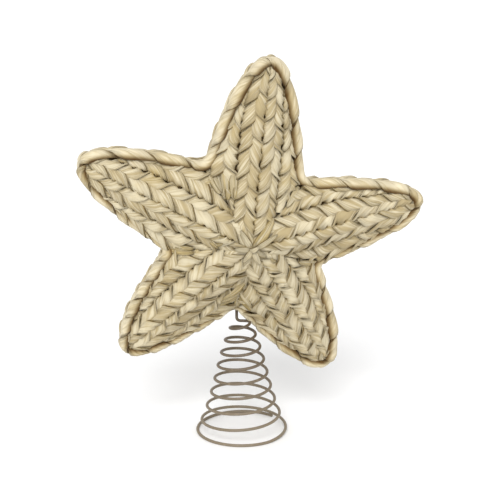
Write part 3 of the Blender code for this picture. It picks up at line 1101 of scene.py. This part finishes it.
# %% The strips
HUSK_STRIPS = {
    "apex_knot": (
        (0.5, 0.5, 33, 25, 7.6, -8, 2.2, 0.80),
        (1.5, 0.0, 50, 19, 4.4, 6, 2.3, 0.40),
        (0.5, -0.5, 110, 12, 4.2, 10, 1.9, 0.20),
        (0.0, 0.0, 150, 14, 5.0, -5, 1.8, 0.15),
        (0.0, 0.0, 205, 12, 4.6, 5, 1.8, 0.25),
        (-0.5, 0.0, 262, 12, 4.6, -6, 1.6, 0.20),
        (-0.5, 0.5, 318, 15, 5.0, 6, 1.8, 0.10),
        (-2.5, -1.5, 55, 8, 4.4, 0, 2.2, 0.15),
    ),
    "seam_tufts": (
        (-26.0, 49.0, 160, 17, 6.5, 18, 2.6, 0.60),
        (-19.0, 50.0, 178, 18, 6.0, -12, 2.4, 0.35),
        (-22.0, 42.0, 172, 11, 4.5, 10, 3.2, 0.95),
        (-16.0, 43.0, 186, 10, 4.0, -10, 3.0, 0.75),
        (-31.0, 0.5, 110, 9, 3.4, 25, 2.2, 0.95),
        (-28.0, -3.0, 70, 8, 3.0, -20, 2.0, 0.90),
        (21.0, -12.0, 300, 8, 3.4, 15, 2.0, 0.70),
        (2.0, -32.0, 218, 22, 4.6, 8, 2.4, 0.80),
        (1.5, -38.0, 224, 20, 4.2, 6, 2.8, 0.60),
        (0.5, -43.0, 228, 18, 4.4, 4, 2.6, 0.90),
        (-1.5, -39.0, 146, 20, 4.8, -6, 2.2, 0.55),
        (-1.0, -45.0, 140, 18, 4.2, -4, 2.6, 0.85),
        (0.0, -47.0, 182, 11, 5.5, 0, 2.4, 0.80),
    ),
    "valley_tufts": (
        (-36.0, 47.5, 143, 17, 6.5, 6, 1.6, 0.45),
        (-32.0, 47.0, 150, 14, 5.0, -6, 2.0, 0.30),
        (30.5, 41.0, 216, 15, 5.5, -5, 1.4, 0.45),
        (-57.0, -17.5, 73, 19, 6.0, 8, 2.0, 0.70),
        (-53.0, -12.0, 84, 14, 4.5, -8, 2.0, 0.85),
        (56.0, -18.0, 287, 18, 5.5, -6, 1.8, 0.60),
    ),
}
for name, strips in HUSK_STRIPS.items():
    sizes = {"Seed": len(strips), "Material": STRAW["front_straw"]}
    finish_piece(grow(f"front_{name}", husk_guide(strips), HUSK_TREE, sizes), "front_straw")

# %% [markdown]
# ## The wire spring
#
# One painted wire makes the holder: a straight leg goes up into the star, bends over, and winds down in a
# widening coil whose last turn closes flat so that the topper can stand. A bevelled curve could give it, but
# the same points that the fixed model uses, only closer together, keep it in place. A round section is swept
# along them.

# %% The wire
COIL_STEPS = 56
LEG_STEPS = 8
BEND_STEPS = 12
BEND_SHARE = 0.35


def coil_point(turns):
    share = min(turns / COIL_TURNS, 1.0)
    growth = share**3 + COIL_WAIST * share * (1 - share)
    radius = COIL_TOP_RADIUS + (COIL_BASE_RADIUS - COIL_TOP_RADIUS) * growth
    height = COIL_HEIGHT * (1 - share) * (1 + COIL_OPENING * share)
    angle = -math.tau * turns
    x, y = radius * math.cos(angle), radius * math.sin(angle)
    return Vector((SPRING_AXIS.x + x, SPRING_AXIS.y + y, WIRE_REST + height))


def wire_points():
    start = coil_point(0.0)
    top, before_bend, corner = (
        Vector((LEG.x, LEG.y, height)) for height in (VALLEY_HEIGHT + LEG_INSIDE, start.z + LEG_BEND, start.z)
    )
    into_coil = Vector((SPRING_AXIS.x + COIL_TOP_RADIUS, LEG.y, start.z))
    steps = [(k + 1) / BEND_STEPS for k in range(BEND_STEPS)]
    points = [top.lerp(before_bend, k / LEG_STEPS) for k in range(LEG_STEPS + 1)]
    points += [bezier([before_bend, corner, corner.lerp(into_coil, BEND_SHARE)], t) for t in steps]
    points += [bezier([points[-1], into_coil, start], t) for t in steps]
    last = COIL_TURNS + CLOSED_TURN
    count = math.ceil(last * COIL_STEPS)
    return points + [coil_point(last * (k + 1) / count) for k in range(count)]


def make_wire_tree():
    graph, given = new_tree("swept_wire", {"Radius": WIRE_RADIUS, "Sides": 14, "Material": None})
    guide = graph.add("GeometryNodeMeshToCurve", {"Mesh": given["Geometry"]})
    sizes = {"Resolution": given["Sides"], "Radius": given["Radius"]}
    section = graph.add("GeometryNodeCurvePrimitiveCircle", sizes)
    return close_tree(graph, swept(graph, guide, section), given["Material"])


print(f"wire path: {len(wire_points())} points")


# %% The paint on the wire
def make_wire_paint():
    """Taupe paint, darker up at the neck and mottled a little."""
    material, graph = new_finish("painted_wire")
    where = graph.add("ShaderNodeTexCoord", out="Object")
    mottled = graph.noise(where, 3.0, 0.6, 220.0)
    colour = graph.mix((0.105, 0.076, 0.048), (0.205, 0.163, 0.108), 1.0 - where.part("Z").ramp(0.0, 0.09))
    colour = graph.mix(colour, (0.34, 0.28, 0.20), mottled.ramp(0.52, 0.75) * 0.35)
    close_finish(graph, {
        "Base Color": colour,
        "Roughness": 0.42 + mottled * 0.15,
        "Specular IOR Level": 0.5,
        "Normal": graph.add("ShaderNodeBump", {"Strength": 0.25, "Distance": 0.0002, "Height": mottled}),
    })
    return material


sizes = {"Material": make_wire_paint()}
spring = grow("painted_wire_spring", make_guide(wire_points()), make_wire_tree(), sizes, Matrix.Identity(4))
finish_piece(spring, "painted_wire", "spring_leg", "spring_neck", "spring_middle", "spring_base")

# %% [markdown]
# ## Floor, light and camera
#
# The topper stands on a pale floor in soft light. A lamp close by would leave a bright spot on the floor, so
# a far, broad light shines from the front and above, a little from the left, and a white sky fills the
# shade. The camera looks slightly down from nearly a metre away.

# %% Floor and light
bpy.ops.mesh.primitive_plane_add(size=40.0, location=(0.0, 0.0, 0.0))
floor = bpy.context.object
floor.name = "floor"
floor_finish, graph = new_finish("pale_floor")
close_finish(graph, {"Base Color": (0.93, 0.93, 0.93, 1.0), "Roughness": 0.9, "Specular IOR Level": 0.0})
floor.data.materials.append(floor_finish)

world = bpy.data.worlds.new("soft_white")
world.use_nodes = True
sky = world.node_tree.nodes["Background"].inputs
sky["Color"].default_value = (1.0, 1.0, 1.0, 1.0)
sky["Strength"].default_value = 0.84
bpy.context.scene.world = world

broad_light = bpy.data.lights.new("broad_light", "SUN")
broad_light.angle = math.radians(34.0)
broad_light.energy = 2.03
towards_light = Vector((-0.17, -1.30, 1.08))
add_object("broad_light", broad_light).rotation_euler = towards_light.to_track_quat("Z", "Y").to_euler()
print("made:", floor.name, world.name, broad_light.name)

# %% Camera
IMAGE_PIXELS = 500
PIXEL = 0.000735
FOCAL_PIXELS = 1300
ELEVATION = math.radians(14.8)
TILT = math.radians(0.35)
AIM_RIGHT = 9.24 * PIXEL
AIM_UP = 75.42 * PIXEL

camera_data = bpy.data.cameras.new("camera")
camera_data.lens = camera_data.sensor_width * FOCAL_PIXELS / IMAGE_PIXELS
camera = add_object("camera", camera_data)
aim = Vector((SPRING_AXIS.x + AIM_RIGHT, SPRING_AXIS.y, WIRE_REST + COIL_HEIGHT + AIM_UP))
back = Vector((0.0, -math.cos(ELEVATION), math.sin(ELEVATION)))
camera.matrix_world = (
    Matrix.Translation(aim + back * FOCAL_PIXELS * PIXEL)
    @ Matrix.Rotation(math.pi / 2 - ELEVATION, 4, "X")
    @ Matrix.Rotation(-TILT, 4, "Z")
)
bpy.context.scene.camera = camera
bpy.context.scene.view_settings.view_transform = "Standard"
print("camera at", [round(v, 3) for v in camera.location])
